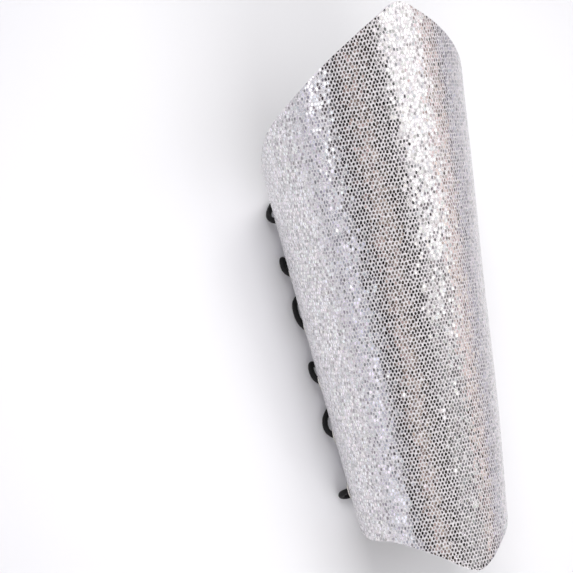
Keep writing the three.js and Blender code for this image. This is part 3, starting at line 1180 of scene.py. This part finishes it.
@dataclass(frozen=True)
class Softbox:
    """One even rectangular light that faces the bracer."""

    name: str
    place: tuple[float, float, float]  # m
    aim_along: float  # m along the bracer, where it aims at its middle line
    size: tuple[float, float]  # m
    radiance: float  # how bright its face looks, where 1 is the white of the picture
    colour: str = "ffffff"
    aim_height: float = 0.05  # m
    mirrored: bool = True  # False where it is hidden from mirror rays, so the foil doesn't show it and it only fills shadows

    def build(self) -> None:
        """Adds the light."""
        data = bpy.data.lights.new(self.name, "AREA")
        data.shape = "RECTANGLE"
        data.size, data.size_y = self.size
        data.energy = self.radiance * self.size[0] * self.size[1] * math.pi
        data.color = srgb(self.colour)[:3]
        light = add_object(self.name, data)
        aim = Vector((0.0, self.aim_along, self.aim_height))
        back = (Vector(self.place) - aim).normalized()
        across = Vector((0.0, 1.0, 0.0)).cross(back).normalized()
        light.matrix_world = axes_at(Vector(self.place), across, back.cross(across), back)
        light.visible_camera = False
        light.visible_glossy = self.mirrored


@dataclass
class Studio:
    """The floor, the lights and the camera."""

    form: SheetForm
    floor_colour: str = "eaebee"
    # The floor is painted lighter round the bracer and greyer further out, as a pool of light that
    # falls off.
    floor_painted_dim_colour: str = "bcbcc4"
    floor_size: float = 4.4  # m
    floor_painted_light_falloff: tuple[float, float] = (0.12, 0.4)  # m from the middle, over which painted light falls off from one colour to the other
    room_low: str = "cecedb"
    room_high: str = "241d1c"
    room_fade: tuple[float, float] = (0.10, 0.22)  # sine of the height over the horizon
    softboxes: tuple[Softbox, ...] = (
        Softbox("main_softbox", (0.55, 0.05, 1.02), 0.05, (0.90, 0.60), 1.6),
        Softbox("main_skirt", (0.55, -0.50, 1.02), -0.50, (0.86, 0.50), 0.25),
        Softbox("right_fill", (1.08, -0.20, 0.60), -0.20, (0.50, 0.60), 0.85, "ffeae4"),
        Softbox("camera_side_fill", (-0.85, -0.60, 1.56), -0.60, (0.62, 0.85), 0.5, "ffe8dc"),
        Softbox(
            "shadow_fill", (-0.50, 0.0, 1.45), 0.0, (1.1, 1.4), 1.2, "fcfcff", aim_height=0.0,
            mirrored=False),
        Softbox("left_window", (-0.97, 0.13, 0.35), 0.13, (0.33, 0.30), 2.2, "f6f6ff"),
        Softbox("left_strip", (-0.95, -0.42, 0.25), -0.42, (0.44, 0.50), 0.8, "f6f6ff"),
        Softbox("elbow_end_softbox", (-0.12, 1.20, 1.40), 0.0, (1.5, 0.9), 6.2, "fffdfc"),
        Softbox("wrist_end_softbox", (-0.12, -1.55, 1.15), 0.0, (1.5, 0.8), 5.3, "fffdfc"))
    # The camera's place from the sheet's own origin in millimetres, and its right, up and back.
    camera_place: tuple[float, float, float] = (-470.8, -42.4, 945.3)
    camera_right: tuple[float, float, float] = (0.8894, -0.2197, 0.4008)
    camera_back: tuple[float, float, float] = (-0.4221, -0.0587, 0.9046)
    lens: float = 146.2  # mm, for a sensor 36 mm wide

    def fade(
        self, tree: Tree, value: Socket, span: tuple[float, float], colours: tuple[str, str],
    ) -> Socket:
        """Goes from one colour to another over a span of values.

        Args:
            tree: The node tree that it goes into.
            value: What the colour goes by.
            span: The values where the change begins and ends.
            colours: The first and the last colour.

        Returns:
            The colour.
        """
        share = add_node(tree, MAP_RANGE, SMOOTH, [value, *span])
        return add_node(tree, MIX, COLOURS, {
            "Factor": share, 6: srgb(colours[0]), 7: srgb(colours[1])}).outputs[2]

    def world(self) -> None:
        """Makes the room: pale near the horizon and dim above, so the foil has something dark."""
        world = bpy.data.worlds.new("studio_room")
        world.use_nodes = True
        tree = world.node_tree
        shader = next(node for node in tree.nodes if node.type == "BACKGROUND")
        place = add_node(tree, "ShaderNodeTexCoord").outputs["Generated"]
        height = add_node(tree, "ShaderNodeSeparateXYZ", None, [place]).outputs["Z"]
        colour = self.fade(tree, height, self.room_fade, (self.room_low, self.room_high))
        set_inputs(tree, shader, {"Color": colour})
        bpy.context.scene.world = world

    def floor(self) -> None:
        """Adds the pale floor, with painted light that falls off to grey away from the middle."""
        bpy.ops.object.select_all(action="DESELECT")
        bpy.ops.mesh.primitive_plane_add(size=self.floor_size, location=(0, 0, 0))
        floor = bpy.context.object
        floor.name = "floor"
        material, tree, shader = new_material("matte_paper_floor")
        place = add_node(tree, "ShaderNodeTexCoord").outputs["Object"]
        away = add_node(tree, VECTOR_MATH, "LENGTH", [place]).outputs["Value"]
        colours = self.floor_colour, self.floor_painted_dim_colour
        set_inputs(tree, shader, {
            "Base Color": self.fade(tree, away, self.floor_painted_light_falloff, colours),
            "Roughness": 0.9, "Specular IOR Level": 0.1})
        floor.data.materials.append(material)

    def camera(self) -> None:
        """Sets the camera at the photo's angle."""
        data = bpy.data.cameras.new("camera")
        data.sensor_width = 36.0
        data.lens = self.lens
        data.clip_end = 50.0
        camera = add_object("camera", data)
        back = Vector(self.camera_back).normalized()
        right = Vector(self.camera_right)
        right = (right - back * right.dot(back)).normalized()
        place = (Vector(self.camera_place) + self.form.shift) * MM
        camera.matrix_world = axes_at(place, right, back.cross(right), back)
        bpy.context.scene.camera = camera

    def build(self) -> None:
        """Builds the whole studio."""
        self.camera()
        self.world()
        self.floor()
        for softbox in self.softboxes:
            softbox.build()
        bpy.context.scene.view_settings.view_transform = "Standard"


def main() -> None:
    """Builds the studio and the bracer's pieces in order."""
    logging.basicConfig(level=logging.INFO, format="%(name)s: %(message)s")
    sheet = Sheet()
    low, high = (Vector(corner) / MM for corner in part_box("shell"))
    # The CAD model stands on its lace, and its box is centred along the bracer.
    form = SheetForm(sheet, Vector((0.0, low.y + sheet.length / 2, low.z)))
    Studio(form).build()
    edge = PaleCutEdge().build()
    lining = BlackLiningCloth().build()
    SheetLayer(
        form, "glitter_shell", "shell", "glitter_faux_leather",
        lift=0.0, thick=sheet.shell_thick, inset=0.0, edge_round=0.4,
    ).build([GlitterFauxLeather().build(), edge])
    SheetLayer(
        form, "black_lining", "lining", "black_lining",
        lift=sheet.lining_thick - sheet.wall, thick=sheet.lining_thick, inset=sheet.lining_inset,
        edge_round=0.3, columns=110, rows=90,
    ).build([lining])
    EyeletSet(form).build(NickelPlate().build())
    Lace(form).build(BraidedCord().build())


if __name__ == "__main__":
    main()
